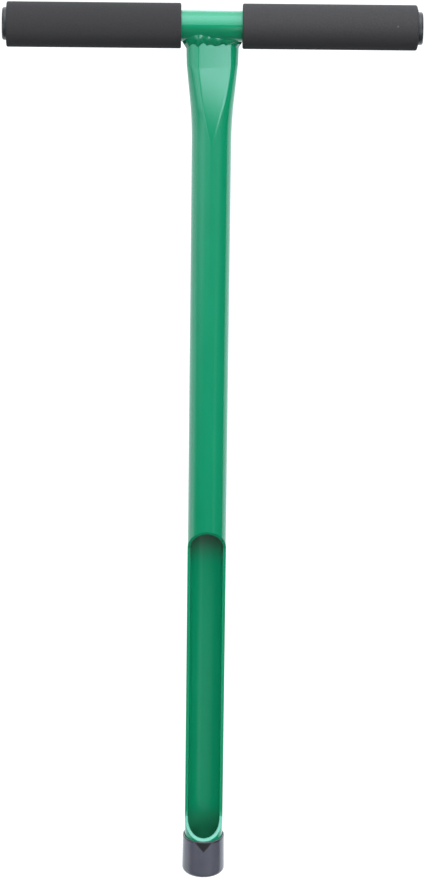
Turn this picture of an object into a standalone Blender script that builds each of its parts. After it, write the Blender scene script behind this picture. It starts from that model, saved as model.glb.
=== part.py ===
# A hand soil probe: a steel tube with a long window in its side, its top pressed
# flat, coped and welded under a short crossbar with two foam grips. Plastic plugs
# close the crossbar, and a soft cap covers the cutting end.
#
# Metres, +Z up. The tube runs along Z, the crossbar along X, and the window faces -Y.
# The origin is the centre of the cap's underside.

import math

import bmesh
import bpy
from mathutils import Vector

# Running gap between pieces that touch
FIT_GAP = 0.0003

# Tube with the window
TUBE_OD = 0.0222
TUBE_WALL = 0.0018
TIP_LAND = 0.0006
TIP_BEVEL_HEIGHT = 0.0030

# Window: the lowest point of its front edge, and its full length along the front
WINDOW_BOTTOM = 0.0253
WINDOW_LENGTH = 0.1969
WINDOW_RAMP_LENGTH = 0.0108
WINDOW_RAMP_RADIUS = 0.0300

# Pressed top of the tube: a lead-in curve, a straight slope up to a crease, and above
# it the flat, which still tapers a little on its way to the crossbar's axis, where it
# has the thickness given here. Its width follows from the girth of the round tube, which
# pressing stretches. The faces are turned a few degrees out of the crossbar's line.
FLAT_THICKNESS = 0.0108
FLAT_LENGTH = 0.0130
FACE_WIDTH = 0.0176
SIDE_CENTRE = 0.0050
PRESS_SLOPE_LENGTH = 0.0234
PRESS_LEAD_LENGTH = 0.0120
PRESS_STRETCH = 1.033
CREASE_SHARE = 0.80
PRESS_TWIST = math.radians(12)

# Crossbar; its height is that of its axis above the cap's underside
CROSSBAR_HEIGHT = 0.5205
CROSSBAR_OD = 0.0172
CROSSBAR_WALL = 0.0015
CROSSBAR_LENGTH = 0.2252

# Weld round the joint of tube and crossbar: a fillet with one ripple for each dip of the rod
WELD_LEG = 0.0028
WELD_CROWN = 0.0008
WELD_ROOT = 0.0010
WELD_RIPPLE = 0.16
WELD_RIPPLE_COUNT = 16

# Foam grips
GRIP_OD = 0.0250
GRIP_EDGE_RADIUS = 0.0009
GRIP_INSET = 0.0003
GRIP_WELD_ROOM = 0.0027

# End plugs
PLUG_HEAD_THICKNESS = 0.0027
PLUG_HEAD_ROUND = 0.0009
PLUG_SHANK_LENGTH = 0.0130
PLUG_WALL = 0.0012
PLUG_FIN_COUNT = 3
PLUG_FIN_HEIGHT = 0.0008
PLUG_FIN_PITCH = 0.0034

# Soft cap over the cutting end
CAP_HEIGHT = 0.0240
CAP_WALL = 0.0008
CAP_FLOOR = 0.0018
CAP_CORNER_RADIUS = 0.0030
CAP_RIM_ROUND = 0.0004
CAP_FOOT_SWELL = 0.00025

# Facets
ROUND_STEPS = 60
CORNER_STEPS = 3
RAMP_STEPS = 8
PRESS_STEPS = 6
SIDE_SHARE = 0.7
WELD_POINTS_PER_RIPPLE = 5
WELD_FACE_STEPS = 4
SMOOTH_ANGLE = math.radians(35)
NORMAL_REACH = 0.0005
MERGE = 0.00001
CUT_OVERRUN = 0.0050

# Finishes: colour and roughness
GREEN_PAINT = ((0.004, 0.275, 0.125), 0.22)
FOAM = ((0.030, 0.028, 0.030), 0.90)
PLUG_PLASTIC = ((0.020, 0.020, 0.022), 0.45)
CAP_VINYL = ((0.045, 0.045, 0.055), 0.25)

# Worked out from the sizes above
TUBE_R = TUBE_OD / 2
CROSSBAR_R = CROSSBAR_OD / 2
TUBE_BOTTOM = CAP_FLOOR + FIT_GAP
FLAT_WIDTH = FLAT_THICKNESS + (TUBE_OD - FLAT_THICKNESS) * math.pi / 2 * PRESS_STRETCH
SADDLE_BOTTOM = CROSSBAR_HEIGHT - CROSSBAR_R
CREASE_HEIGHT = SADDLE_BOTTOM - FLAT_LENGTH
PRESS_START = CREASE_HEIGHT - PRESS_SLOPE_LENGTH - PRESS_LEAD_LENGTH
GRIP_OUTER_X = CROSSBAR_LENGTH / 2 - GRIP_INSET
GRIP_INNER_X = FLAT_WIDTH / 2 + GRIP_WELD_ROOM


def clear_scene():
    for existing in list(bpy.data.objects):
        bpy.data.objects.remove(existing, do_unlink=True)


def make_collection(name):
    collection = bpy.data.collections.new(name)
    bpy.context.scene.collection.children.link(collection)
    return collection


def finish(part, look):
    color, roughness = look
    material = bpy.data.materials.new(part.name + "_finish")
    material.use_nodes = True
    shader = material.node_tree.nodes["Principled BSDF"]
    shader.inputs["Base Color"].default_value = (*color, 1.0)
    shader.inputs["Roughness"].default_value = roughness
    shader.inputs["Metallic"].default_value = 0.0
    part.data.materials.append(material)


def add_object(name, mesh, collection):
    part = bpy.data.objects.new(name, mesh)
    collection.objects.link(part)
    return part


def add_mesh(name, shape, collection):
    bmesh.ops.recalc_face_normals(shape, faces=shape.faces)
    mesh = bpy.data.meshes.new(name)
    shape.to_mesh(mesh)
    shape.free()
    return add_object(name, mesh, collection)


def shade(part):
    part.data.shade_smooth()
    part.data.set_sharp_from_angle(angle=SMOOTH_ANGLE)


def as_cutter(part):
    part.hide_render = True
    part.display_type = "WIRE"
    return part


def cut(part, cutter):
    boolean = part.modifiers.new("cut_" + cutter.name, "BOOLEAN")
    boolean.operation = "DIFFERENCE"
    boolean.solver = "EXACT"
    boolean.object = cutter


def corner(centre_r, centre_z, radius, start_deg, end_deg):
    """Points of a round corner in a profile, as radius and height."""
    points = []
    for step in range(CORNER_STEPS + 1):
        angle = math.radians(start_deg + (end_deg - start_deg) * step / CORNER_STEPS)
        points.append((centre_r + radius * math.cos(angle), centre_z + radius * math.sin(angle)))
    return points


def turned(name, profile, collection):
    """A piece turned about its own Z axis from an outline of radius and height.

    The outline runs down the outer side and back up the inner side. Where it
    ends on the axis it stays open, and otherwise it closes on itself.
    """
    shape = bmesh.new()
    points = [shape.verts.new((radius, 0.0, height)) for radius, height in profile]
    for first, second in zip(points, points[1:]):
        shape.edges.new((first, second))
    on_axis = profile[0][0] < MERGE and profile[-1][0] < MERGE
    if not on_axis:
        shape.edges.new((points[-1], points[0]))
    mesh = bpy.data.meshes.new(name)
    shape.to_mesh(mesh)
    shape.free()
    part = add_object(name, mesh, collection)
    screw = part.modifiers.new("turn", "SCREW")
    screw.axis = "Z"
    screw.angle = math.tau
    screw.steps = ROUND_STEPS
    screw.render_steps = ROUND_STEPS
    screw.use_merge_vertices = True
    screw.merge_threshold = MERGE
    screw.use_smooth_shade = True
    return part


# The tube's section: a circle below, and above it two flat faces between bulging sides

def pressed_share(height):
    """How far the press has gone: 0 in the round tube, 1 at the crossbar's axis."""
    travel = height - PRESS_START
    steepness = CREASE_SHARE / (PRESS_LEAD_LENGTH / 2 + PRESS_SLOPE_LENGTH)
    if travel <= 0.0:
        return 0.0
    if travel < PRESS_LEAD_LENGTH:
        return steepness * travel ** 2 / (2 * PRESS_LEAD_LENGTH)
    if height < CREASE_HEIGHT:
        return steepness * (travel - PRESS_LEAD_LENGTH / 2)
    along_flat = (height - CREASE_HEIGHT) / (CROSSBAR_HEIGHT - CREASE_HEIGHT)
    return CREASE_SHARE + (1.0 - CREASE_SHARE) * along_flat


def outline_at(height, turn):
    """A point of the tube's outline, a share of one turn from +X.

    In each quarter the first SIDE_SHARE of the points lie on the bulging side, an arc of an
    ellipse, and the rest on the face, which is the circle where that lies inside the press.
    """
    share = pressed_share(height)
    depth = TUBE_R + share * (FLAT_THICKNESS / 2 - TUBE_R)
    width = TUBE_R + share * (FLAT_WIDTH / 2 - TUBE_R)
    narrowest = TUBE_R * math.cos(SIDE_SHARE * math.pi / 2)
    chord = math.sqrt(TUBE_R ** 2 - depth ** 2)
    edge = max(min(chord, FACE_WIDTH / 2), narrowest)
    edge_depth = min(depth, math.sqrt(TUBE_R ** 2 - edge ** 2))

    quadrant, along = divmod((turn % 1.0) * 4, 1.0)
    if quadrant in (1, 3):
        along = 1.0 - along
    if along < SIDE_SHARE:
        centre = share * SIDE_CENTRE
        reach = width - centre
        edge_angle = math.acos((edge - centre) / reach)
        bulge = edge_depth / math.sin(edge_angle)
        angle = edge_angle * along / SIDE_SHARE
        across, deep = centre + reach * math.cos(angle), bulge * math.sin(angle)
    else:
        across = edge * (1.0 - along) / (1.0 - SIDE_SHARE)
        deep = min(depth, math.sqrt(TUBE_R ** 2 - across ** 2))
    side = 1.0 if quadrant in (0, 3) else -1.0
    face = 1.0 if quadrant in (0, 1) else -1.0
    twist = PRESS_TWIST * share
    return Vector((side * across * math.cos(twist) - face * deep * math.sin(twist),
                   side * across * math.sin(twist) + face * deep * math.cos(twist), height))


def section_at(height, turn, grow=0.0):
    """A point of the outline moved out by grow, and the outward normal there."""
    before = outline_at(height, turn - NORMAL_REACH)
    after = outline_at(height, turn + NORMAL_REACH)
    along = (after - before).normalized()
    normal = Vector((along.y, -along.x, 0.0))
    return outline_at(height, turn) + normal * grow, normal


def press_heights():
    """Where the loft has a ring from the start of the pressing up to the crossbar's axis."""
    heights = [PRESS_START + PRESS_LEAD_LENGTH * step / PRESS_STEPS for step in range(PRESS_STEPS)]
    slope_start = PRESS_START + PRESS_LEAD_LENGTH
    heights += [slope_start + PRESS_SLOPE_LENGTH * step / PRESS_STEPS for step in range(PRESS_STEPS)]
    return heights + [CREASE_HEIGHT, CROSSBAR_HEIGHT]


def lofted(name, stations, returning, collection):
    """A loft through rings of the tube's section, each given by its height and growth.

    A returning loft runs up the outside and down the inside, and joins its last ring
    to its first. Any other is capped at both ends.
    """
    shape = bmesh.new()
    rings = []
    for height, grow in stations:
        turns = [(step + 0.5) / ROUND_STEPS for step in range(ROUND_STEPS)]
        rings.append([shape.verts.new(section_at(height, turn, grow)[0]) for turn in turns])
    pairs = list(zip(rings, rings[1:]))
    if returning:
        pairs.append((rings[-1], rings[0]))
    else:
        shape.faces.new(rings[0])
        shape.faces.new(rings[-1])
    for ring, following in pairs:
        for step in range(ROUND_STEPS):
            after = (step + 1) % ROUND_STEPS
            shape.faces.new((ring[step], ring[after], following[after], following[step]))
    return add_mesh(name, shape, collection)


# Cutters

def window_cutter(collection):
    """A bar across the tube, whose two ends rise to the front along wheel-cut arcs."""
    floor_low = WINDOW_BOTTOM + WINDOW_RAMP_LENGTH
    floor_high = WINDOW_BOTTOM + WINDOW_LENGTH - WINDOW_RAMP_LENGTH
    upper_ramp = ramp_points(floor_high)
    middle = (floor_low + floor_high) / 2
    outline = upper_ramp + [(depth, 2 * middle - height) for depth, height in reversed(upper_ramp)]
    shape = bmesh.new()
    half_width = TUBE_R + CUT_OVERRUN
    side = [shape.verts.new((-half_width, depth, height)) for depth, height in outline]
    face = shape.faces.new(side)
    extruded = bmesh.ops.extrude_face_region(shape, geom=[face])
    moved = [item for item in extruded["geom"] if isinstance(item, bmesh.types.BMVert)]
    bmesh.ops.translate(shape, verts=moved, vec=(2 * half_width, 0.0, 0.0))
    return as_cutter(add_mesh("window_cutter", shape, collection))


def ramp_points(floor_height):
    """The arc from the window's floor, on the tube's axis plane, out past its front."""
    start = Vector((0.0, floor_height))
    front = Vector((-TUBE_R, floor_height + WINDOW_RAMP_LENGTH))
    chord = front - start
    middle = (start + front) / 2
    inward = Vector((-chord.y, chord.x)).normalized()
    sag = math.sqrt(WINDOW_RAMP_RADIUS ** 2 - (chord.length / 2) ** 2)
    centre = middle + inward * sag
    start_angle = math.atan2(start.y - centre.y, start.x - centre.x)
    front_angle = math.atan2(front.y - centre.y, front.x - centre.x)
    turn = (front_angle - start_angle + math.pi) % math.tau - math.pi
    points = []
    for step in range(RAMP_STEPS + 1):
        angle = start_angle + turn * step / RAMP_STEPS
        points.append((centre.x + WINDOW_RAMP_RADIUS * math.cos(angle),
                       centre.y + WINDOW_RAMP_RADIUS * math.sin(angle)))
    points.append((-TUBE_R - CUT_OVERRUN, points[-1][1] + CUT_OVERRUN))
    return points


def crossbar_cutter(collection):
    """The crossbar's outside with the gap, which copes the tube and the weld."""
    radius = CROSSBAR_R + FIT_GAP
    shape = bmesh.new()
    bmesh.ops.create_cone(shape, cap_ends=True, segments=ROUND_STEPS, radius1=radius,
                          radius2=radius, depth=2 * (GRIP_INNER_X + CUT_OVERRUN))
    cutter = add_mesh("crossbar_cutter", shape, collection)
    cutter.rotation_euler = (0.0, math.pi / 2, 0.0)
    cutter.location = (0.0, 0.0, CROSSBAR_HEIGHT)
    return as_cutter(cutter)


# Pieces

def make_shaft_tube(parts, cutters, saddle):
    """Up the bevel and the outside to the crossbar, then down the bore, then cut."""
    outside = [(TUBE_BOTTOM, TIP_LAND - TUBE_WALL), (TUBE_BOTTOM + TIP_BEVEL_HEIGHT, 0.0)]
    outside += [(height, 0.0) for height in press_heights()]
    bore = [(height, -TUBE_WALL) for height in [TUBE_BOTTOM] + press_heights()]
    shaft = lofted("shaft_tube", outside + bore[::-1], True, parts)
    cut(shaft, window_cutter(cutters))
    cut(shaft, saddle)
    shade(shaft)
    return shaft


def make_crossbar(parts):
    shape = bmesh.new()
    bmesh.ops.create_cone(shape, cap_ends=False, segments=ROUND_STEPS, radius1=CROSSBAR_R,
                          radius2=CROSSBAR_R, depth=CROSSBAR_LENGTH)
    crossbar = add_mesh("crossbar_tube", shape, parts)
    wall = crossbar.modifiers.new("wall", "SOLIDIFY")
    wall.thickness = CROSSBAR_WALL
    wall.offset = -1.0
    wall.use_even_offset = True
    crossbar.rotation_euler = (0.0, math.pi / 2, 0.0)
    crossbar.location = (0.0, 0.0, CROSSBAR_HEIGHT)
    shade(crossbar)
    return crossbar


def weld_section(turn, size):
    """One cut through the fillet: root, toe on the tube, crowned face, toe on the bar."""
    joint, tube_normal = section_at(SADDLE_BOTTOM, turn)
    drop = math.sqrt(CROSSBAR_R ** 2 - joint.y ** 2)
    joint.z = CROSSBAR_HEIGHT - drop
    bar_normal = Vector((0.0, joint.y, -drop)).normalized()
    outward = (tube_normal + bar_normal).normalized()
    along_bar = (tube_normal - bar_normal * tube_normal.dot(bar_normal)).normalized()

    tube_toe = section_at(joint.z - WELD_LEG * size, turn, -FIT_GAP)[0]
    bar_toe = joint + along_bar * WELD_LEG * size
    from_axis = Vector((0.0, bar_toe.y, bar_toe.z - CROSSBAR_HEIGHT))
    bar_toe -= from_axis.normalized() * (from_axis.length - CROSSBAR_R + FIT_GAP)

    section = [joint - outward * WELD_ROOT]
    for step in range(WELD_FACE_STEPS + 1):
        share = step / WELD_FACE_STEPS
        bulge = WELD_CROWN * size * math.sin(math.pi * share)
        section.append(tube_toe.lerp(bar_toe, share) + outward * bulge)
    return section


def make_weld_bead(parts, cutters, saddle):
    shape = bmesh.new()
    count = WELD_RIPPLE_COUNT * WELD_POINTS_PER_RIPPLE
    rings = []
    for step in range(count):
        turn = (step + 0.5) / count
        size = 1.0 + WELD_RIPPLE * math.cos(math.tau * turn * WELD_RIPPLE_COUNT)
        rings.append([shape.verts.new(point) for point in weld_section(turn, size)])
    for step in range(count):
        ring, following = rings[step], rings[(step + 1) % count]
        for number in range(len(ring)):
            after = (number + 1) % len(ring)
            shape.faces.new((ring[number], ring[after], following[after], following[number]))
    bead = add_mesh("weld_bead", shape, parts)
    inside = lofted("weld_inside", [(height, FIT_GAP) for height in press_heights()], False, cutters)
    cut(bead, as_cutter(inside))
    cut(bead, saddle)
    shade(bead)
    return bead


def make_grip(name, side, parts):
    half = (GRIP_OUTER_X - GRIP_INNER_X) / 2
    bore = CROSSBAR_R + FIT_GAP
    outer = GRIP_OD / 2
    edge = GRIP_EDGE_RADIUS
    profile = corner(outer - edge, half - edge, edge, 90, 0)
    profile += corner(outer - edge, edge - half, edge, 0, -90)
    profile += [(bore, -half), (bore, half)]
    grip = turned(name, profile, parts)
    grip.rotation_euler = (0.0, math.pi / 2, 0.0)
    grip.location = (side * (GRIP_OUTER_X + GRIP_INNER_X) / 2, 0.0, CROSSBAR_HEIGHT)
    return grip


def plug_profile():
    """The plug's outline with its head up: domed rim, finned shank and hollow core."""
    head = CROSSBAR_R
    fin = CROSSBAR_R - CROSSBAR_WALL - FIT_GAP
    root = fin - PLUG_FIN_HEIGHT
    core = root - PLUG_WALL
    rim = PLUG_HEAD_ROUND
    profile = [(0.0, PLUG_HEAD_THICKNESS)]
    profile += corner(head - rim, PLUG_HEAD_THICKNESS - rim, rim, 90, 0)
    profile += [(head, 0.0), (root, 0.0)]
    for number in range(1, PLUG_FIN_COUNT + 1):
        crest = -PLUG_FIN_PITCH * number
        profile += [(root, crest + PLUG_FIN_HEIGHT), (fin, crest), (root, crest - PLUG_FIN_HEIGHT)]
    profile += [(root, -PLUG_SHANK_LENGTH), (core, -PLUG_SHANK_LENGTH), (core, -PLUG_WALL)]
    profile += [(0.0, -PLUG_WALL)]
    return profile


def make_plug(name, side, parts):
    plug = turned(name, plug_profile(), parts)
    plug.rotation_euler = (0.0, side * math.pi / 2, 0.0)
    plug.location = (side * (CROSSBAR_LENGTH / 2 + FIT_GAP), 0.0, CROSSBAR_HEIGHT)
    return plug


def make_tip_cap(parts):
    bore = TUBE_R + FIT_GAP
    outer = bore + CAP_WALL
    foot = outer + CAP_FOOT_SWELL
    round_foot = CAP_CORNER_RADIUS
    round_rim = CAP_RIM_ROUND
    profile = [(0.0, CAP_FLOOR), (bore, CAP_FLOOR), (bore, CAP_HEIGHT)]
    profile += corner(outer - round_rim, CAP_HEIGHT - round_rim, round_rim, 90, 0)
    profile += corner(foot - round_foot, round_foot, round_foot, 0, -90)
    profile += [(0.0, 0.0)]
    return turned("tip_cap", profile, parts)


def build():
    clear_scene()
    parts = make_collection("soil_probe")
    cutters = make_collection("cutters")
    saddle = crossbar_cutter(cutters)

    shaft = make_shaft_tube(parts, cutters, saddle)
    crossbar = make_crossbar(parts)
    weld = make_weld_bead(parts, cutters, saddle)
    grips = [make_grip("grip_left", -1, parts), make_grip("grip_right", 1, parts)]
    plugs = [make_plug("end_plug_left", -1, parts), make_plug("end_plug_right", 1, parts)]
    cap = make_tip_cap(parts)

    for part in (shaft, crossbar, weld):
        finish(part, GREEN_PAINT)
    for part in grips:
        finish(part, FOAM)
    for part in plugs:
        finish(part, PLUG_PLASTIC)
    finish(cap, CAP_VINYL)


build()
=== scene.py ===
# Soil probe: a green tube with a long window, welded under a crossbar with foam grips, and a
# soft cap over its cutting end. Metres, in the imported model's own frame: the tube runs along Z,
# the crossbar along X, and the window faces -Y.

import math

import bpy
from mathutils import Matrix, Vector, noise


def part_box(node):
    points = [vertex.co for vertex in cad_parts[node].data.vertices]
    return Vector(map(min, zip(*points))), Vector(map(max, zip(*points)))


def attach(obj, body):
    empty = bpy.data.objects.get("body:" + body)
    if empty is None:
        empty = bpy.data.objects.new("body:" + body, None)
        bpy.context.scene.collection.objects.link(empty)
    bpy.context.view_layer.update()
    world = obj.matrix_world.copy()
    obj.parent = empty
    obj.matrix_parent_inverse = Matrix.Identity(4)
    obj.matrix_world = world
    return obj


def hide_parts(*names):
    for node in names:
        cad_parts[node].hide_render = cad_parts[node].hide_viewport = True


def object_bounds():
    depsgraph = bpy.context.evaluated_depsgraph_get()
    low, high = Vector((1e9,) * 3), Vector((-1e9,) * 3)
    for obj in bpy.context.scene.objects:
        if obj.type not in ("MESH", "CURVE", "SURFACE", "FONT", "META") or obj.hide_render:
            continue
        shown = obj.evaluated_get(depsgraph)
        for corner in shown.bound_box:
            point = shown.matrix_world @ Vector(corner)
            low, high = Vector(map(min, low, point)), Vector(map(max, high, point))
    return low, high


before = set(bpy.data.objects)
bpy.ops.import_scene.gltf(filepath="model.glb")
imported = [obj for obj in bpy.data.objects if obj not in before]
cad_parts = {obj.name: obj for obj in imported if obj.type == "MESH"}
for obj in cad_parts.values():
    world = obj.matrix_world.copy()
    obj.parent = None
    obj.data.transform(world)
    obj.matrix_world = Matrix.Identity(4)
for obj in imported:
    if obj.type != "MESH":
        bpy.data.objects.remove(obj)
cadLow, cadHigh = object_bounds()
bpy.ops.object.select_all(action="DESELECT")
print("frame loaded:", len(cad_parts), "nodes")


# Sizes of the steel parts, which their neighbours use as well

gap = 0.0003      # clear space between neighbours
bar = {
    "radius": 0.0086, "wall": 0.0015, "height": 0.5205, "length": 0.2252, "sides": 128,
    "edge": 0.0002, "edgeAngle": 60, "smoothAngle": 30,
}
shaft = {
    "radius": 0.0111, "wall": 0.0018, "bottom": 0.0021, "land": 0.0006, "edgeHeight": 0.0030,
    "sides": 144, "pressedDepth": 0.0108, "flatLength": 0.0130, "slopeLength": 0.0200,
    "leadLength": 0.0250, "faceWidth": 0.0176, "sideCentre": 0.0050, "stretch": 1.09,
    "creaseShare": 0.80, "sideShare": 0.7, "twist": math.radians(12), "crown": 0.00015,
    "cutEdge": 0.0004, "edgeAngle": 38, "smoothAngle": 32,
    "ringStep": 0.0010,                   # between rings in the press
    "troughRings": 12, "roundRings": 8,   # beside the window and above it
    "topRoom": 0.004,                     # from the last ring up to the crossbar's middle
    "turnStep": 0.0005,                   # share of a turn, either way, that a normal spans
    "saddleCut": 0.05,                    # length of the saddle's cutter
}
# a run-out's bow is how far its cut goes past a straight one
window = {
    "bottom": 0.0241, "top": 0.2228, "rampBelow": 0.0113, "rampAbove": 0.0145,
    "bowBelow": 0.0006, "bowAbove": 0.0001, "rampSteps": 24,
    "overrun": 0.005, "sideRoom": 0.004,  # how far the cutter stands out of the tube
    "ringRoom": 0.002, "roomBelow": 0.014, "roomAbove": 0.018,   # kept free of the tube's rings
}


# Small tools for working on one piece at a time

def takeUp(piece):
    bpy.ops.object.select_all(action="DESELECT")
    piece.select_set(True)
    bpy.context.view_layer.objects.active = piece


def rename(name):
    piece = bpy.context.object
    piece.name = name
    piece.data.name = name
    return piece


def selectWhere(piece, kind, test):
    # kind is vertices, edges or polygons
    bpy.ops.object.mode_set(mode="EDIT")
    bpy.ops.mesh.select_all(action="DESELECT")
    modeOf = {"vertices": "VERT", "edges": "EDGE", "polygons": "FACE"}
    bpy.ops.mesh.select_mode(type=modeOf[kind])
    bpy.ops.object.mode_set(mode="OBJECT")
    for item in getattr(piece.data, kind):
        item.select = test(item)
    bpy.ops.object.mode_set(mode="EDIT")


def applyModifier(piece, kind, **settings):
    takeUp(piece)
    modifier = piece.modifiers.new(kind.lower(), kind)
    for setting, value in settings.items():
        setattr(modifier, setting, value)
    bpy.ops.object.modifier_apply(modifier=modifier.name)


def cutAway(piece, cutter):
    applyModifier(piece, "BOOLEAN", operation="DIFFERENCE", solver="EXACT", object=cutter)
    bpy.data.objects.remove(cutter)


def setPlace(piece):
    takeUp(piece)
    bpy.ops.object.transform_apply(location=True, rotation=True, scale=True)


def smooth(piece, degrees):
    takeUp(piece)
    bpy.ops.object.shade_smooth_by_angle(angle=math.radians(degrees))


def recalculate(piece):
    selectWhere(piece, "polygons", lambda face: True)
    bpy.ops.mesh.normals_make_consistent(inside=False)
    bpy.ops.object.mode_set(mode="OBJECT")


def faceOut(tube):
    # turns the faces of an open tube round Z away from its axis
    recalculate(tube)
    face = tube.data.polygons[0]
    if face.normal.xy.dot(face.center.xy) < 0:
        tube.data.flip_normals()


def drawLine(name, points):
    # a line drawn point by point from a plane merged to one, left in edit mode, all selected
    bpy.ops.mesh.primitive_plane_add(size=0.01)
    line = rename(name)
    bpy.ops.object.mode_set(mode="EDIT")
    bpy.ops.mesh.select_mode(type="VERT")
    bpy.ops.mesh.merge(type="CENTER")
    bpy.ops.transform.translate(value=points[0])
    for before, after in zip(points, points[1:]):
        step = tuple(b - a for a, b in zip(before, after))
        bpy.ops.mesh.extrude_region_move(TRANSFORM_OT_translate={"value": step})
    bpy.ops.mesh.select_all(action="SELECT")
    return line


def layAlongBar(piece, x):
    # a piece made upright at the origin is laid along the crossbar
    piece.rotation_euler = (0, math.pi / 2, 0)
    piece.location = (x, 0, bar["height"])
    setPlace(piece)


# Camera, where a camera fitted to the photograph stands. Angles are degrees.

camera = {
    "place": (-0.01501, -2.24937, 1.18454), "down": 22.0, "yaw": 0.440, "roll": 0.69,
    "lens": 174.2, "sensor": 36,
}


def makeCamera():
    down, yaw, roll = (math.radians(camera[name]) for name in ("down", "yaw", "roll"))
    level = math.cos(down)
    forward = Vector((math.sin(yaw) * level, math.cos(yaw) * level, -math.sin(down)))
    right = Vector((math.cos(yaw), -math.sin(yaw), 0))
    up = right.cross(forward)
    across = right * math.cos(roll) + up * math.sin(roll)
    upright = up * math.cos(roll) - right * math.sin(roll)
    bpy.ops.object.camera_add(location=camera["place"])
    eye = rename("photoCamera")
    turn = Matrix((across, upright, -forward)).transposed()
    eye.rotation_euler = turn.to_euler()
    eye.data.lens = camera["lens"]
    eye.data.sensor_width = camera["sensor"]
    bpy.context.scene.camera = eye


makeCamera()
print("camera placed")


# Node helpers

def addNode(tree, kind, **settings):
    node = tree.nodes.new(kind)
    for setting, value in settings.items():
        setattr(node, setting, value)
    return node


def feed(tree, socket, source):
    # source is an output socket or a plain value
    if isinstance(source, bpy.types.NodeSocket):
        tree.links.new(source, socket)
    else:
        socket.default_value = source


def maths(tree, operation, *sources):
    node = addNode(tree, "ShaderNodeMath", operation=operation)
    for socket, source in zip(node.inputs, sources):
        feed(tree, socket, source)
    return node.outputs[0]


def newGroup(name, inputs, outputs):
    group = bpy.data.node_groups.new(name, "ShaderNodeTree")
    for socketName, kind, value in inputs:
        socket = group.interface.new_socket(socketName, in_out="INPUT",
                                            socket_type="NodeSocket" + kind)
        socket.default_value = value
    for socketName, kind in outputs:
        group.interface.new_socket(socketName, in_out="OUTPUT", socket_type="NodeSocket" + kind)
    return group, addNode(group, "NodeGroupInput"), addNode(group, "NodeGroupOutput")


def placeGroup(tree, group, **sources):
    node = addNode(tree, "ShaderNodeGroup", node_tree=group)
    for socketName, source in sources.items():
        feed(tree, node.inputs[socketName], source)
    return node


# Studio: a white sweep at both sides and behind, a long softbox overhead, softboxes in front on
# both sides and high on the right, dim strips low in front, and the dark room behind the
# camera. Angles are degrees: around from the camera's side towards the right, up from the
# horizon, over from the front horizon across the top, and lean to the right of that arch. A
# softbox is at half its glow at the angles given, and its edges, first of around and then of
# up, are that many degrees wide on either side of them.

studio = {
    "room": 0.07,
    "overhead": ((22, 0.0), (26, 2.2), (33, 2.6), (40, 2.9), (55, 4.2), (71, 5.3), (90, 5.3),
                 (106, 3.2), (129, 2.0), (162, 0.9), (180, 0.8)),     # over and glow
    "overheadLean": 18, "overheadSoft": 5.0,
    "tint": (0.92, 1.0, 1.05),
}
softboxes = (
    {"around": (-185, -82), "up": (-90, 40), "edges": (14, 12), "glow": 1.45},      # sweep, left
    {"around": (103, 185), "up": (-90, 40), "edges": (5, 12), "glow": 1.60},        # sweep, right
    {"around": (8, 54), "up": (-13.6, 10), "edges": (10, 6), "glow": 5.6},          # front right
    {"around": (-74, -38), "up": (-20.5, 10), "edges": (14, 2.5), "glow": 0.9},     # front left
    {"around": (-78, -6), "up": (-16.5, 9), "edges": (4, 5), "glow": 2.3},          # front left
    {"around": (-60, 62), "up": (-21, -15), "edges": (12, 2), "glow": 0.25},        # low strip
    {"around": (29, 47), "up": (-90, -19), "edges": (4, 2), "glow": 0.32},          # low, right
    {"around": (50, 120), "up": (28, 60), "edges": (15, 10), "glow": 1.4},          # high, right
    {"around": (-50, 70), "up": (-27.2, -24.2), "edges": (15, 1.0), "glow": 0.35},  # lower strip
)


def makeSoftWindow():
    # 1 between From and To, with edges Soft wide on either side
    group, given, result = newGroup(
        "softWindow",
        (("Value", "Float", 0.0), ("From", "Float", 0.0), ("To", "Float", 1.0),
         ("Soft", "Float", 1.0)),
        (("Inside", "Float"),))
    sides = []
    for bound, flip in (("From", 1), ("To", -1)):
        offset = maths(group, "SUBTRACT", given.outputs["Value"], given.outputs[bound])
        facing = maths(group, "MULTIPLY", offset, flip)
        edge = addNode(group, "ShaderNodeMapRange", interpolation_type="SMOOTHSTEP")
        feed(group, edge.inputs["Value"], maths(group, "DIVIDE", facing, given.outputs["Soft"]))
        edge.inputs["From Min"].default_value = -1
        sides.append(edge.outputs["Result"])
    feed(group, result.inputs["Inside"], maths(group, "MULTIPLY", *sides))
    return group


def addOverhead(tree, over):
    # glow along the arch, drawn as a curve from the front horizon to the back one
    arch = addNode(tree, "ShaderNodeFloatCurve")
    points = arch.mapping.curves[0].points
    brightest = max(glow for angle, glow in studio["overhead"])
    wanted = [(angle / 180, glow / brightest) for angle, glow in studio["overhead"]]
    while len(points) < len(wanted):
        points.new(0.5, 0.5)
    for point, place in zip(points, wanted):
        point.location = place
        point.handle_type = "VECTOR"
    arch.mapping.extend = "HORIZONTAL"
    arch.mapping.update()
    feed(tree, arch.inputs["Value"], maths(tree, "DIVIDE", over, 180.0))
    return arch.outputs[0], brightest


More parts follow.
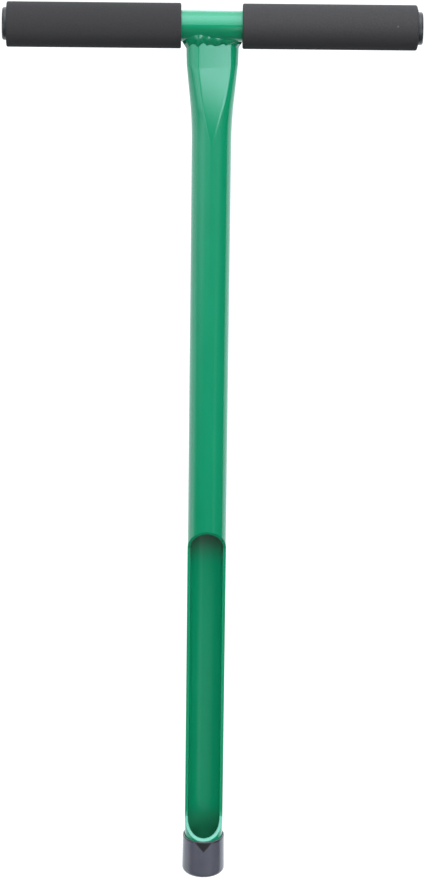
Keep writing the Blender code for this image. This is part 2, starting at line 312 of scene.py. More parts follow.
def makeWorld():
    world = bpy.data.worlds.new("studio")
    bpy.context.scene.world = world
    world.use_nodes = True
    tree = world.node_tree
    tree.nodes.clear()
    direction = addNode(tree, "ShaderNodeTexCoord").outputs["Generated"]
    split = addNode(tree, "ShaderNodeSeparateXYZ")
    feed(tree, split.inputs[0], direction)
    x, y, z = split.outputs
    front = maths(tree, "MULTIPLY", y, -1.0)
    around = maths(tree, "DEGREES", maths(tree, "ARCTAN2", x, front))
    up = maths(tree, "DEGREES", maths(tree, "ARCSINE", z))
    over = maths(tree, "DEGREES", maths(tree, "ARCTAN2", z, front))
    lean = maths(tree, "DEGREES", maths(tree, "ARCSINE", x))

    softWindow = makeSoftWindow()
    arch, brightest = addOverhead(tree, over)
    strip = placeGroup(tree, softWindow, Value=lean, From=-studio["overheadLean"],
                       To=studio["overheadLean"], Soft=studio["overheadSoft"])
    above = maths(tree, "MULTIPLY", arch, strip.outputs["Inside"])
    total = maths(tree, "MULTIPLY_ADD", above, brightest, studio["room"])
    for box in softboxes:
        wide = placeGroup(tree, softWindow, Value=around, From=box["around"][0],
                          To=box["around"][1], Soft=box["edges"][0])
        tall = placeGroup(tree, softWindow, Value=up, From=box["up"][0], To=box["up"][1],
                          Soft=box["edges"][1])
        panel = maths(tree, "MULTIPLY", wide.outputs["Inside"], tall.outputs["Inside"])
        total = maths(tree, "MULTIPLY_ADD", panel, box["glow"], total)

    lamp = addNode(tree, "ShaderNodeBackground")
    lamp.inputs["Color"].default_value = (*studio["tint"], 1)
    feed(tree, lamp.inputs["Strength"], total)
    white = addNode(tree, "ShaderNodeBackground")
    white.inputs["Color"].default_value = (1, 1, 1, 1)
    mix = addNode(tree, "ShaderNodeMixShader")
    feed(tree, mix.inputs[0], addNode(tree, "ShaderNodeLightPath").outputs["Is Camera Ray"])
    feed(tree, mix.inputs[1], lamp.outputs[0])
    feed(tree, mix.inputs[2], white.outputs[0])
    feed(tree, addNode(tree, "ShaderNodeOutputWorld").inputs["Surface"], mix.outputs[0])


# the floor lies low enough for the cap to come off above it
floor = {"half": 3.0, "gap": 0.0355, "white": 0.17, "glow": 0.88}


def makeFloor():
    bpy.ops.mesh.primitive_plane_add(size=2 * floor["half"],
                                     location=(0, 0, cadLow.z - floor["gap"]))
    ground = rename("floor")
    material = bpy.data.materials.new("floorWhite")
    material.use_nodes = True
    tree = material.node_tree
    tree.nodes.clear()
    matte = addNode(tree, "ShaderNodeBsdfDiffuse")
    matte.inputs["Color"].default_value = (floor["white"],) * 3 + (1,)
    glow = addNode(tree, "ShaderNodeEmission")
    path = addNode(tree, "ShaderNodeLightPath")
    seen = maths(tree, "MAXIMUM", path.outputs["Is Camera Ray"],
                 path.outputs["Is Transmission Ray"])
    feed(tree, glow.inputs["Strength"], maths(tree, "MULTIPLY", seen, floor["glow"]))
    both = addNode(tree, "ShaderNodeAddShader")
    feed(tree, both.inputs[0], matte.outputs[0])
    feed(tree, both.inputs[1], glow.outputs[0])
    feed(tree, addNode(tree, "ShaderNodeOutputMaterial").inputs["Surface"], both.outputs[0])
    ground.data.materials.append(material)
    ground.visible_glossy = False     # gloss sees the studio's own sweep, which is in the world


makeWorld()
makeFloor()
bpy.context.scene.view_settings.view_transform = "Standard"
print("studio lit")


# Effects that more than one finish uses

effects = {"mottleDetail": 4, "skinDetail": 2, "fineScale": 4.3}


def stretchedPlace(group, given):
    place = addNode(group, "ShaderNodeTexCoord").outputs["Object"]
    stretched = addNode(group, "ShaderNodeVectorMath", operation="MULTIPLY")
    feed(group, stretched.inputs[0], place)
    feed(group, stretched.inputs[1], given.outputs["Stretch"])
    return stretched.outputs[0]


def makeMottle():
    # uneven colour: two tones mixed by soft noise
    group, given, result = newGroup(
        "mottle",
        (("Light", "Color", (1, 1, 1, 1)), ("Dark", "Color", (0, 0, 0, 1)),
         ("Scale", "Float", 100.0), ("Contrast", "Float", 1.0), ("Stretch", "Vector", (1, 1, 1))),
        (("Color", "Color"), ("Mask", "Float")))
    cloud = addNode(group, "ShaderNodeTexNoise")
    cloud.inputs["Detail"].default_value = effects["mottleDetail"]
    feed(group, cloud.inputs["Vector"], stretchedPlace(group, given))
    feed(group, cloud.inputs["Scale"], given.outputs["Scale"])
    centred = maths(group, "SUBTRACT", cloud.outputs["Fac"], 0.5)
    spread = addNode(group, "ShaderNodeMath", operation="MULTIPLY_ADD", use_clamp=True)
    feed(group, spread.inputs[0], centred)
    feed(group, spread.inputs[1], given.outputs["Contrast"])
    spread.inputs[2].default_value = 0.5
    mix = addNode(group, "ShaderNodeMix", data_type="RGBA")
    feed(group, mix.inputs["Factor"], spread.outputs[0])
    feed(group, mix.inputs[6], given.outputs["Dark"])
    feed(group, mix.inputs[7], given.outputs["Light"])
    feed(group, result.inputs["Color"], mix.outputs[2])
    feed(group, result.inputs["Mask"], spread.outputs[0])
    return group


def makeSkin():
    # fine relief: a height from noise at two scales, for Bump
    group, given, result = newGroup(
        "skin",
        (("Scale", "Float", 500.0), ("Fine Share", "Float", 0.3), ("Stretch", "Vector", (1, 1, 1))),
        (("Height", "Float"),))
    stretched = stretchedPlace(group, given)
    levels = []
    for finer in (1.0, effects["fineScale"]):
        cloud = addNode(group, "ShaderNodeTexNoise")
        cloud.inputs["Detail"].default_value = effects["skinDetail"]
        feed(group, cloud.inputs["Vector"], stretched)
        feed(group, cloud.inputs["Scale"], maths(group, "MULTIPLY", given.outputs["Scale"], finer))
        levels.append(cloud.outputs["Fac"])
    coarse, fine = levels
    height = maths(group, "MULTIPLY_ADD", fine, given.outputs["Fine Share"], coarse)
    feed(group, result.inputs["Height"], height)
    return group


mottle = makeMottle()
skin = makeSkin()


def newFinish(name):
    material = bpy.data.materials.new(name)
    material.use_nodes = True
    return material, material.node_tree, material.node_tree.nodes["Principled BSDF"]


def addTone(tree, look):
    tone = placeGroup(tree, mottle, Light=look["light"], Dark=look["dark"], Scale=look["scale"],
                      Contrast=look["contrast"], Stretch=look["stretch"])
    return tone.outputs["Color"]


def addSkin(tree, shader, look):
    relief = placeGroup(tree, skin, Scale=look["skinScale"])
    relief.inputs["Fine Share"].default_value = look["fineShare"]
    bump = addNode(tree, "ShaderNodeBump")
    bump.inputs["Strength"].default_value = 1
    bump.inputs["Distance"].default_value = look["skinDepth"]     # metres
    feed(tree, bump.inputs["Height"], relief.outputs["Height"])
    feed(tree, shader.inputs["Normal"], bump.outputs[0])


def fade(tree, value, start, end):
    # 0 before start and 1 after end, softly, and start may be the larger
    ramp = addNode(tree, "ShaderNodeMapRange", interpolation_type="SMOOTHSTEP")
    feed(tree, ramp.inputs["Value"], value)
    ramp.inputs["From Min"].default_value = start
    ramp.inputs["From Max"].default_value = end
    return ramp.outputs["Result"]


def blendColor(tree, factor, first, second):
    mix = addNode(tree, "ShaderNodeMix", data_type="RGBA")
    feed(tree, mix.inputs["Factor"], factor)
    feed(tree, mix.inputs[6], first)
    feed(tree, mix.inputs[7], second)
    return mix.outputs[2]


def placeAxes(tree):
    split = addNode(tree, "ShaderNodeSeparateXYZ")
    feed(tree, split.inputs[0], addNode(tree, "ShaderNodeTexCoord").outputs["Object"])
    return split.outputs


def putOn(piece, material):
    piece.data.materials.clear()
    piece.data.materials.append(material)


# Green enamel, with painted shade in a brownish green inside the tube, a painted highlight on the
# window's lower cut edge, and painted shade under the crossbar

paint = {
    "light": (0.0050, 0.285, 0.130, 1), "dark": (0.0035, 0.262, 0.118, 1),
    # these three tones are painted light: shade inside the tube, shade under the crossbar, and a
    # highlight on the window's lower cut edge
    "boreShade": (0.050, 0.072, 0.051, 1), "underside": (0.0035, 0.185, 0.080, 1),
    "edgeHighlight": (0.080, 0.400, 0.260, 1),
    "scale": 60.0, "contrast": 2.5, "stretch": (1, 1, 0.3),
    "roughness": (0.06, 0.12), "sheenScale": 180.0, "sheenContrast": 2.0,
    "sheenStretch": (1, 1, 0.5), "glossTint": (0.78, 0.93, 1.0, 1), "specularLevel": 0.55,
    "skinScale": 260.0, "fineShare": 0.2, "skinDepth": 0.00001,
}
# where the painted shade and highlight fall: each pair says where a change starts and where it is
# full, from the tube's axis or in height
paintedLight = {
    "inside": (0.0097, 0.0095),
    "atTop": (0.194, 0.216), "topEnds": (0.42, 0.40), "topShare": 0.95,
    "atBottom": (0.042, 0.028), "bottomShare": 0.30,
    "wallInner": (0.0095, 0.0097), "wallOuter": (0.0110, 0.0108),
    "cutUpper": (0.040, 0.036), "cutLower": (0.020, 0.022),
    "belowBar": (bar["height"] + 0.0035, bar["height"]),
}


def addBoreShadeAndEdgeHighlight(tree, color):
    # painted shade: a darker, brownish green inside the tube, at both ends of the window
    x, y, z = placeAxes(tree)
    fromAxis = maths(tree, "SQRT", maths(tree, "MULTIPLY_ADD", x, x, maths(tree, "MULTIPLY", y, y)))
    inside = fade(tree, fromAxis, *paintedLight["inside"])
    atTop = maths(tree, "MULTIPLY", fade(tree, z, *paintedLight["atTop"]), fade(tree, z, *paintedLight["topEnds"]))
    atBottom = maths(tree, "MULTIPLY", fade(tree, z, *paintedLight["atBottom"]), paintedLight["bottomShare"])
    ends = maths(tree, "MULTIPLY_ADD", atTop, paintedLight["topShare"], atBottom)
    boreShaded = blendColor(tree, maths(tree, "MULTIPLY", inside, ends), color, paint["boreShade"])
    # painted highlight: the cut edge of the wall is paler at the window's lower end
    inWall = maths(tree, "MULTIPLY", fade(tree, fromAxis, *paintedLight["wallInner"]),
                   fade(tree, fromAxis, *paintedLight["wallOuter"]))
    lowCut = maths(tree, "MULTIPLY", fade(tree, z, *paintedLight["cutUpper"]),
                   fade(tree, z, *paintedLight["cutLower"]))
    return blendColor(tree, maths(tree, "MULTIPLY", inWall, lowCut), boreShaded, paint["edgeHighlight"])


def addUndersideShade(tree, color):
    # painted shade: the handle is coloured darker below the crossbar's middle
    x, y, z = placeAxes(tree)
    return blendColor(tree, fade(tree, z, *paintedLight["belowBar"]), color, paint["underside"])


# the given step paints shade or highlight into the base colour
def makePaint(name, addPaintedLight):
    material, tree, shader = newFinish(name)
    feed(tree, shader.inputs["Base Color"], addPaintedLight(tree, addTone(tree, paint)))
    shader.inputs["Specular Tint"].default_value = paint["glossTint"]
    shader.inputs["Specular IOR Level"].default_value = paint["specularLevel"]
    patches = placeGroup(tree, mottle, Scale=paint["sheenScale"], Contrast=paint["sheenContrast"],
                         Stretch=paint["sheenStretch"])
    sheen = addNode(tree, "ShaderNodeMapRange")
    feed(tree, sheen.inputs["Value"], patches.outputs["Mask"])
    low, high = paint["roughness"]
    sheen.inputs["To Min"].default_value = low
    sheen.inputs["To Max"].default_value = high
    feed(tree, shader.inputs["Roughness"], sheen.outputs["Result"])
    addSkin(tree, shader, paint)
    return material


tubePaint = makePaint("tubePaint", addBoreShadeAndEdgeHighlight)
barPaint = makePaint("barPaint", addUndersideShade)


# Foam, with painted shade underneath, darker on the left grip, and a pale nick in the right one

foam = {
    "light": (0.056, 0.051, 0.052, 1), "dark": (0.042, 0.038, 0.039, 1),
    "darkUnderAndLeft": (0.020, 0.0175, 0.0190, 1), "pale": (0.105, 0.101, 0.105, 1),
    "scale": 1400.0, "contrast": 2.2, "stretch": (1, 1, 1),
    "shadeHeights": (bar["height"] + 0.008, bar["height"] - 0.011),     # start and full
    "leftSpan": (0.01, -0.02), "leftShare": 0.50,                      # start and full
    "roughness": 0.92, "specularLevel": 0.3,
    "skinScale": 900.0, "fineShare": 0.5, "skinDepth": 0.00003,
    "nick": (0.1011, -0.0118, 0.5246), "nickRadius": 0.0009, "nickDepth": 0.0003,
}


def makeFoam():
    material, tree, shader = newFinish("foamSkin")
    x, y, z = placeAxes(tree)
    # painted shade below the crossbar's middle, and the left grip made darker as well
    below = fade(tree, z, *foam["shadeHeights"])
    left = maths(tree, "MULTIPLY", fade(tree, x, *foam["leftSpan"]), foam["leftShare"])
    darkening = maths(tree, "MAXIMUM", below, left)
    color = blendColor(tree, darkening, addTone(tree, foam), foam["darkUnderAndLeft"])
    fromNick = addNode(tree, "ShaderNodeVectorMath", operation="DISTANCE")
    feed(tree, fromNick.inputs[0], addNode(tree, "ShaderNodeTexCoord").outputs["Object"])
    fromNick.inputs[1].default_value = foam["nick"]
    scar = fade(tree, fromNick.outputs["Value"], foam["nickRadius"], 0.0)
    feed(tree, shader.inputs["Base Color"], blendColor(tree, scar, color, foam["pale"]))
    shader.inputs["Roughness"].default_value = foam["roughness"]
    shader.inputs["Specular IOR Level"].default_value = foam["specularLevel"]
    addSkin(tree, shader, foam)
    return material


foamSkin = makeFoam()

plastic = {
    "light": (0.022, 0.020, 0.022, 1), "dark": (0.014, 0.013, 0.014, 1),
    "scale": 300.0, "contrast": 2.0, "stretch": (1, 1, 1), "roughness": 0.42,
    "skinScale": 2500.0, "fineShare": 0.3, "skinDepth": 0.00002,
}


def makePlastic():
    material, tree, shader = newFinish("plugPlastic")
    feed(tree, shader.inputs["Base Color"], addTone(tree, plastic))
    shader.inputs["Roughness"].default_value = plastic["roughness"]
    addSkin(tree, shader, plastic)
    return material


plugPlastic = makePlastic()

vinyl = {
    "light": (0.118, 0.110, 0.134, 1), "dark": (0.088, 0.088, 0.112, 1),
    "capShade": (0.020, 0.018, 0.019, 1),
    "scale": 120.0, "contrast": 2.0, "stretch": (1, 1, 0.5), "roughness": 0.18,
    "skinScale": 350.0, "fineShare": 0.3, "skinDepth": 0.00003,
}


def makeVinyl():
    material, tree, shader = newFinish("capVinyl")
    # painted shade: a share stored per vertex darkens the V under the window and a band below the
    # rim
    capShadeMask = addNode(tree, "ShaderNodeAttribute", attribute_name="capShade")
    color = blendColor(tree, capShadeMask.outputs["Fac"], addTone(tree, vinyl), vinyl["capShade"])
    feed(tree, shader.inputs["Base Color"], color)
    shader.inputs["Roughness"].default_value = vinyl["roughness"]
    addSkin(tree, shader, vinyl)
    return material


capVinyl = makeVinyl()
print("finishes mixed")


# The tube: round below, and pressed at the top to two faces between bulging sides

shaft["pressedWidth"] = (shaft["pressedDepth"] + (2 * shaft["radius"] - shaft["pressedDepth"])
                         * math.pi / 2 * shaft["stretch"])
shaft["saddle"] = bar["height"] - bar["radius"]
shaft["crease"] = shaft["saddle"] - shaft["flatLength"]
shaft["pressStart"] = shaft["crease"] - shaft["slopeLength"] - shaft["leadLength"]


def pressedShare(height):
    # 0 where the tube is round, rising slowly at first, then evenly to the crease
    travel = height - shaft["pressStart"]
    lead = shaft["leadLength"]
    steepness = shaft["creaseShare"] / (lead / 2 + shaft["slopeLength"])
    if travel <= 0:
        return 0.0
    if travel < lead:
        return steepness * travel ** 2 / (2 * lead)
    if height < shaft["crease"]:
        return steepness * (travel - lead / 2)
    alongFlat = (height - shaft["crease"]) / (bar["height"] - shaft["crease"])
    return shaft["creaseShare"] + (1 - shaft["creaseShare"]) * alongFlat


def outlineAt(height, turn):
    # a point of the tube's outline, turn being its share of one turn from +X
    radius = shaft["radius"]
    share = pressedShare(height)
    depth = radius + share * (shaft["pressedDepth"] / 2 - radius)
    width = radius + share * (shaft["pressedWidth"] / 2 - radius)
    narrowest = radius * math.cos(shaft["sideShare"] * math.pi / 2)
    edge = max(min(math.sqrt(radius ** 2 - depth ** 2), shaft["faceWidth"] / 2), narrowest)
    edgeDepth = min(depth, math.sqrt(radius ** 2 - edge ** 2))
    quadrant, along = divmod((turn % 1) * 4, 1)
    if quadrant in (1, 3):
        along = 1 - along
    if along < shaft["sideShare"]:
        centre = share * shaft["sideCentre"]
        edgeAngle = math.acos((edge - centre) / (width - centre))
        angle = edgeAngle * along / shaft["sideShare"]
        across = centre + (width - centre) * math.cos(angle)
        deep = edgeDepth / math.sin(edgeAngle) * math.sin(angle)
    else:
        across = edge * (1 - along) / (1 - shaft["sideShare"])
        deep = min(depth, math.sqrt(radius ** 2 - across ** 2))
        deep += share * shaft["crown"] * (1 - (across / edge) ** 2)
    across *= 1 if quadrant in (0, 3) else -1
    deep *= 1 if quadrant in (0, 1) else -1
    twist = shaft["twist"] * share
    return Vector((across * math.cos(twist) - deep * math.sin(twist),
                   across * math.sin(twist) + deep * math.cos(twist), height))


def outwardAt(height, turn):
    step = shaft["turnStep"]
    along = outlineAt(height, turn + step) - outlineAt(height, turn - step)
    return Vector((along.y, -along.x, 0)).normalized()


def shaftHeights():
    # heights of the rings: bottom, cutting edge, round part, and close together in the press
    heights = [shaft["bottom"], shaft["bottom"] + shaft["edgeHeight"],
               window["bottom"] - window["ringRoom"]]
    spans = (
        (window["bottom"] + window["roomBelow"], window["top"] - window["roomAbove"],
         shaft["troughRings"]),
        (window["top"] + window["ringRoom"], shaft["pressStart"], shaft["roundRings"]),
    )
    for start, end, count in spans:
        heights += [start + (end - start) * step / count for step in range(count + 1)]
    length = shaft["crease"] - shaft["pressStart"]
    count = round(length / shaft["ringStep"])
    heights += [shaft["pressStart"] + length * (step + 1) / count for step in range(count)]
    return heights + [bar["height"] - shaft["topRoom"]]


def windowRamp(end, direction, length, bow):
    # from the mid-plane out past the tube's front, direction being 1 at the top and -1 below
    radius = shaft["radius"]
    start = Vector((0, end - direction * length))
    chord = Vector((-radius, end)) - start
    swell = Vector((chord.y * direction, -chord.x * direction)).normalized()
    ramp = []
    for step in range(window["rampSteps"] + 1):
        share = step / window["rampSteps"]
        ramp.append(tuple(start + chord * share + swell * bow * 4 * share * (1 - share)))
    ramp.append((-radius - window["overrun"], end + direction * window["overrun"]))
    return ramp


def makeWindowCutter():
    # the side outline is drawn point by point, filled, and drawn out across the tube
    below = windowRamp(window["bottom"], -1, window["rampBelow"], window["bowBelow"])
    above = windowRamp(window["top"], 1, window["rampAbove"], window["bowAbove"])
    outline = below[::-1] + above
    half = shaft["radius"] + window["sideRoom"]
    cutter = drawLine("windowCutter", [(-half, y, z) for y, z in outline])
    bpy.ops.mesh.edge_face_add()
    bpy.ops.mesh.extrude_region_move(TRANSFORM_OT_translate={"value": (2 * half, 0, 0)})
    bpy.ops.mesh.select_all(action="SELECT")
    bpy.ops.mesh.normals_make_consistent(inside=False)
    bpy.ops.object.mode_set(mode="OBJECT")
    return cutter


def makeSaddleCutter():
    bpy.ops.mesh.primitive_cylinder_add(vertices=bar["sides"], radius=bar["radius"] + gap,
                                        depth=shaft["saddleCut"])
    cutter = rename("saddleCutter")
    layAlongBar(cutter, 0)
    return cutter


def grindEdge(tube):
    # the foot's outer ring is drawn in to the land of the cutting edge
    footTop = shaft["bottom"] + shaft["edgeHeight"] / 2
    middle = shaft["radius"] - shaft["wall"] / 2
    selectWhere(tube, "vertices", lambda vertex: vertex.co.z < footTop
                and vertex.co.xy.length > middle)
    narrow = (shaft["radius"] - shaft["wall"] + shaft["land"]) / shaft["radius"]
    bpy.ops.transform.resize(value=(narrow, narrow, 1))
    bpy.ops.object.mode_set(mode="OBJECT")


def makeShaft():
    heights = shaftHeights()
    bpy.ops.mesh.primitive_circle_add(vertices=shaft["sides"], radius=shaft["radius"],
                                      location=(0, 0, heights[0]))
    tube = rename("shaftTube")
    bpy.ops.object.mode_set(mode="EDIT")
    for before, after in zip(heights, heights[1:]):
        bpy.ops.mesh.extrude_region_move(TRANSFORM_OT_translate={"value": (0, 0, after - before)})
    bpy.ops.object.mode_set(mode="OBJECT")
    setPlace(tube)
    for vertex in tube.data.vertices:     # the press
        turn = math.atan2(vertex.co.y, vertex.co.x) / math.tau
        vertex.co = outlineAt(vertex.co.z, turn + 0.5 / shaft["sides"])
    faceOut(tube)
    applyModifier(tube, "SOLIDIFY", thickness=shaft["wall"], offset=-1, use_even_offset=True)
    grindEdge(tube)
    cutAway(tube, makeWindowCutter())
    cutAway(tube, makeSaddleCutter())
    applyModifier(tube, "WELD", merge_threshold=0.00002)
    applyModifier(tube, "BEVEL", width=shaft["cutEdge"], segments=3, limit_method="ANGLE",
                  angle_limit=math.radians(shaft["edgeAngle"]), use_clamp_overlap=True,
                  harden_normals=False)
    smooth(tube, shaft["smoothAngle"])
    applyModifier(tube, "WEIGHTED_NORMAL", keep_sharp=True, weight=60)
    putOn(tube, tubePaint)
    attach(tube, "probe")
    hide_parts("shaft_tube")
    print("shaft:", len(tube.data.polygons), "faces")


makeShaft()


# The crossbar, a plain tube whose ends the plugs close

def makeBar():
    bpy.ops.mesh.primitive_cylinder_add(vertices=bar["sides"], radius=bar["radius"],
                                        depth=bar["length"], end_fill_type="NOTHING")
    tube = rename("crossbarTube")
    applyModifier(tube, "SOLIDIFY", thickness=bar["wall"], offset=-1, use_even_offset=True)
    applyModifier(tube, "BEVEL", width=bar["edge"], segments=2, limit_method="ANGLE",
                  angle_limit=math.radians(bar["edgeAngle"]))
    layAlongBar(tube, 0)
    smooth(tube, bar["smoothAngle"])
    putOn(tube, barPaint)
    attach(tube, "probe")
    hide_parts("crossbar_tube")
    print("crossbar:", len(tube.data.polygons), "faces")


makeBar()


# The weld: a ring of overlapping drops in the corner between tube and crossbar

weld = {
    "sideLeg": 0.0048, "shortLeg": 0.0016, "frontToe": 0.5110, "barLeg": 0.0026,
    "sideBarLeg": 0.0023, "crown": 0.0006, "root": 0.0010,
    "sideSpan": (0.725, 0.975),     # shares of the half width over which the side begins
    "ripple": 0.13, "drops": 13, "drift": 2, "driftReach": 2.5,
    "unevenness": 0.34, "unevenReach": 1.7,
    "crownRipple": 0.35, "barRipple": 0.25, "sideCalm": 0.8,
    "aroundSteps": 256, "faceSteps": 12, "smoothAngle": 60,
}


def weldSection(turn, size, drop):
    # root, toe on the tube, crowned face, and toe on the crossbar
    joint = outlineAt(shaft["saddle"], turn)
    tubeNormal = outwardAt(shaft["saddle"], turn)
    down = math.sqrt(bar["radius"] ** 2 - joint.y ** 2)
    joint.z = bar["height"] - down
    barNormal = Vector((0, joint.y, -down)).normalized()
    outward = (tubeNormal + barNormal).normalized()
    alongBar = (tubeNormal - barNormal * tubeNormal.dot(barNormal)).normalized()
    # in front and behind, the lower toe runs level, and at the sides the legs are longer
    sideStart, sideFull = weld["sideSpan"]
    side = abs(joint.x) / (shaft["pressedWidth"] / 2)
    side = max(0.0, min(1.0, (side - sideStart) / (sideFull - sideStart)))
    tubeLeg = max(joint.z - weld["frontToe"], weld["shortLeg"])
    tubeLeg += side * (weld["sideLeg"] - tubeLeg)
    barLeg = weld["barLeg"] + side * (weld["sideBarLeg"] - weld["barLeg"])
    size += weld["sideCalm"] * side * (1 - size)
    foot = joint.z - tubeLeg * size
    tubeToe = outlineAt(foot, turn) - outwardAt(foot, turn) * gap
    barToe = joint + alongBar * barLeg * (1 + weld["barRipple"] * (size - 1))
    fromAxis = Vector((0, barToe.y, barToe.z - bar["height"]))
    barToe -= fromAxis.normalized() * (fromAxis.length - bar["radius"] + gap)
    section = [joint - outward * weld["root"]]
    for step in range(weld["faceSteps"] + 1):
        share = step / weld["faceSteps"]
        bulge = weld["crown"] * (1 + drop) * math.sin(math.pi * share) * (1 - side)
        section.append(tubeToe.lerp(barToe, share) + outward * bulge)
    return section


def seamShares(count):
    # how far round the seam each section stands, measured along the tube's outline
    path = [outlineAt(shaft["saddle"], ring / count) for ring in range(count + 1)]
    reach = [0.0]
    for before, after in zip(path, path[1:]):
        reach.append(reach[-1] + (after - before).length)
    return [distance / reach[-1] for distance in reach[:-1]]


def makeWeld():
    count = weld["aroundSteps"]
    minor = weld["faceSteps"] + 2
    bpy.ops.mesh.primitive_torus_add(major_segments=count, minor_segments=minor,
                                     major_radius=shaft["radius"],
                                     minor_radius=weld["barLeg"] / 2)
    bead = rename("weldFillet")
    for ring, share in enumerate(seamShares(count)):
        around = math.tau * share
        spot = Vector((math.cos(around), math.sin(around), 0)) * weld["driftReach"]
        drop = math.cos(around * weld["drops"] + weld["drift"] * noise.noise(spot))
        size = 1.0 + weld["ripple"] * drop
        size += weld["unevenness"] * noise.noise(spot * weld["unevenReach"])
        section = weldSection(ring / count, size, weld["crownRipple"] * drop)
        for number, point in enumerate(section):
            bead.data.vertices[ring * minor + number].co = point
    recalculate(bead)
    smooth(bead, weld["smoothAngle"])
    putOn(bead, barPaint)
    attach(bead, "probe")
    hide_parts("weld_bead")
    print("weld:", len(bead.data.polygons), "faces")


makeWeld()


# Foam grips. A reach is how far the sleeve goes past its solid's end, and dish is how far the
# outer edge of its right end is drawn back.

grip = {
    "radius": 0.0125, "edge": 0.0009, "edgeAngle": 60, "smoothAngle": 40, "sides": 128,
    "rings": 120, "unevenness": 0.00006, "waveScale": 120,
    "outerShare": 0.9, "dishZone": 1.5,    # of the radius and of the edge
}
gripLeft = {"reachLeft": 0.0009, "reachRight": 0, "dish": 0}
gripRight = {"reachLeft": 0.0010, "reachRight": 0.0006, "dish": 0.0010}


def makeGrip(name, node, ends):
    low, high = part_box(node)
    low.x -= ends["reachLeft"]
    high.x += ends["reachRight"]
    length = high.x - low.x
    bpy.ops.mesh.primitive_cylinder_add(vertices=grip["sides"], radius=grip["radius"],
                                        depth=length, end_fill_type="NOTHING")
    sleeve = rename(name)
    selectWhere(sleeve, "edges", lambda edge: True)
    bpy.ops.mesh.subdivide_edgering(number_cuts=grip["rings"])
    bpy.ops.object.mode_set(mode="OBJECT")
    wall = grip["radius"] - bar["radius"] - gap
    applyModifier(sleeve, "SOLIDIFY", thickness=wall, offset=-1, use_even_offset=True)
    applyModifier(sleeve, "BEVEL", width=grip["edge"], segments=4, limit_method="ANGLE",
                  angle_limit=math.radians(grip["edgeAngle"]))
    for vertex in sleeve.data.vertices:     # hand-cut foam is never quite even
        if vertex.co.xy.length > grip["radius"] * grip["outerShare"]:
            wave = noise.noise(vertex.co * grip["waveScale"]) - 0.5
            vertex.co.xy *= 1 + wave * grip["unevenness"] / grip["radius"]
        if vertex.co.z > length / 2 - grip["dishZone"] * grip["edge"]:
            vertex.co.z -= ends["dish"] * (vertex.co.xy.length - grip["radius"] + wall) / wall
    layAlongBar(sleeve, (low.x + high.x) / 2)
    for vertex in sleeve.data.vertices:
        near = 1 - (vertex.co - Vector(foam["nick"])).length / foam["nickRadius"]
        if near > 0:
            vertex.co.y += foam["nickDepth"] * near
    smooth(sleeve, grip["smoothAngle"])
    putOn(sleeve, foamSkin)
    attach(sleeve, "probe")
    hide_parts(node)


makeGrip("foamLeft", "grip_left", gripLeft)
makeGrip("foamRight", "grip_right", gripRight)
print("grips cut")


# End plugs: a domed head and a finned hollow shank, turned from half an outline. Lift is how
# far a head sits above the crossbar's middle.

plug = {
    "headRadius": 0.0090, "round": 0.0012, "roundSteps": 8, "domeAngle": 84, "shank": 0.0130,
    "wall": 0.0012, "fins": 3, "finHeight": 0.0008, "finPitch": 0.0034, "steps": 96,
    "smoothAngle": 35,
}
plugLeft = {"side": -1, "headLength": 0.0027, "lift": 0.0003}
plugRight = {"side": 1, "headLength": 0.0024, "lift": -0.0003}


def spinOutline(name, outline, steps):
    # outline is radius and height, drawn point by point and spun about Z
    piece = drawLine(name, [(radius, 0, height) for radius, height in outline])
    bpy.ops.mesh.spin(steps=steps, angle=math.tau, center=(0, 0, 0), axis=(0, 0, 1))
    bpy.ops.mesh.select_all(action="SELECT")
    bpy.ops.mesh.remove_doubles(threshold=0.00001)
    bpy.ops.mesh.normals_make_consistent(inside=False)
    bpy.ops.object.mode_set(mode="OBJECT")
    return piece


def arc(centreR, centreZ, radius, start, end, steps):
    angles = [math.radians(start + (end - start) * step / steps) for step in range(steps + 1)]
    return [(centreR + radius * math.cos(angle), centreZ + radius * math.sin(angle))
            for angle in angles]


def makePlug(name, node, own):
    head, rim, headLength = plug["headRadius"], plug["round"], own["headLength"]
    fin = bar["radius"] - bar["wall"] - gap
    root = fin - plug["finHeight"]
    core = root - plug["wall"]
    outline = [(0, headLength)]
    outline += arc(head - rim, headLength - rim, rim, plug["domeAngle"], 0, plug["roundSteps"])
    outline += [(head, 0), (root, 0)]
    for number in range(1, plug["fins"] + 1):
        crest = -plug["finPitch"] * number
        outline += [(root, crest + plug["finHeight"]), (fin, crest),
                    (root, crest - plug["finHeight"])]
    outline += [(root, -plug["shank"]), (core, -plug["shank"]), (core, -plug["wall"]),
                (0, -plug["wall"])]
    piece = spinOutline(name, outline, plug["steps"])
    piece.rotation_euler = (0, own["side"] * math.pi / 2, 0)
    piece.location = (own["side"] * (bar["length"] / 2 + gap), 0, bar["height"] + own["lift"])
    setPlace(piece)
    smooth(piece, plug["smoothAngle"])
    putOn(piece, plugPlastic)
    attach(piece, "probe")
    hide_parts(node)


makePlug("plugLeft", "end_plug_left", plugLeft)
makePlug("plugRight", "end_plug_right", plugRight)
print("plugs turned")


# Soft cap over the cutting end

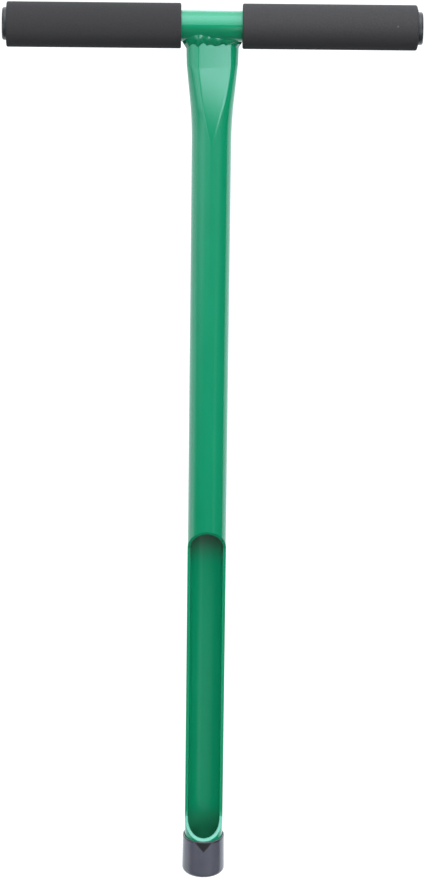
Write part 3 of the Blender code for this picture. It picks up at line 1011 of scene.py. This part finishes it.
cap = {
    "height": 0.0240, "wall": 0.0008, "floor": 0.0018, "corner": 0.0030, "cornerSteps": 10,
    "rimRound": 0.0004, "rimSteps": 4, "footSwell": 0.0003, "steps": 256, "sideRings": 48,
    "smoothAngle": 40,
    "dentWidth": 0.0130, "dentLength": 0.0072, "dentDepth": 0.0001, "dentSoft": 0.0014,
    "rimBand": (0.0009, 0.0001), "rimShade": 0.85,      # painted shade in a band just below the rim
}


def dentShare(place):
    # the vinyl is drawn in below the rim, in a V under the end of the window, and this share also
    # paints shade into the V
    wide = cap["dentWidth"] / 2 * (place.z - cap["height"] + cap["dentLength"]) / cap["dentLength"]
    if place.y > 0 or wide <= 0:
        return 0.0
    inside = max(0.0, min(1.0, (wide - abs(place.x)) / cap["dentSoft"]))
    return inside * inside * (3 - 2 * inside)     # soft at both ends


def makeCap():
    bore = shaft["radius"] + gap
    outer = bore + cap["wall"]
    foot = outer + cap["footSwell"]
    corner, rim = cap["corner"], cap["rimRound"]
    outline = [(0, cap["floor"]), (bore, cap["floor"]), (bore, cap["height"])]
    outline += arc(outer - rim, cap["height"] - rim, rim, 90, 0, cap["rimSteps"])
    rings = cap["sideRings"]
    outline += [(outer + (foot - outer) * step / rings, cap["height"] - rim - step / rings
                 * (cap["height"] - rim - corner)) for step in range(1, rings)]
    outline += arc(foot - corner, corner, corner, 0, -90, cap["cornerSteps"]) + [(0, 0)]
    piece = spinOutline("vinylCap", outline, cap["steps"])
    capShade = piece.data.attributes.new("capShade", "FLOAT", "POINT")
    bandLow, bandHigh = (cap["height"] - drop for drop in cap["rimBand"])
    for vertex in piece.data.vertices:
        if vertex.co.xy.length > bore + cap["wall"] / 2:
            share = dentShare(vertex.co)
            vertex.co.xy *= 1 - share * cap["dentDepth"] / outer
            atRim = bandLow < vertex.co.z < bandHigh
            # painted shade per vertex: the V, and the band below the rim
            capShade.data[vertex.index].value = max(share, cap["rimShade"] if atRim else 0.0)
    smooth(piece, cap["smoothAngle"])
    putOn(piece, capVinyl)
    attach(piece, "cap")
    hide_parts("tip_cap")


makeCap()
print("cap dipped")
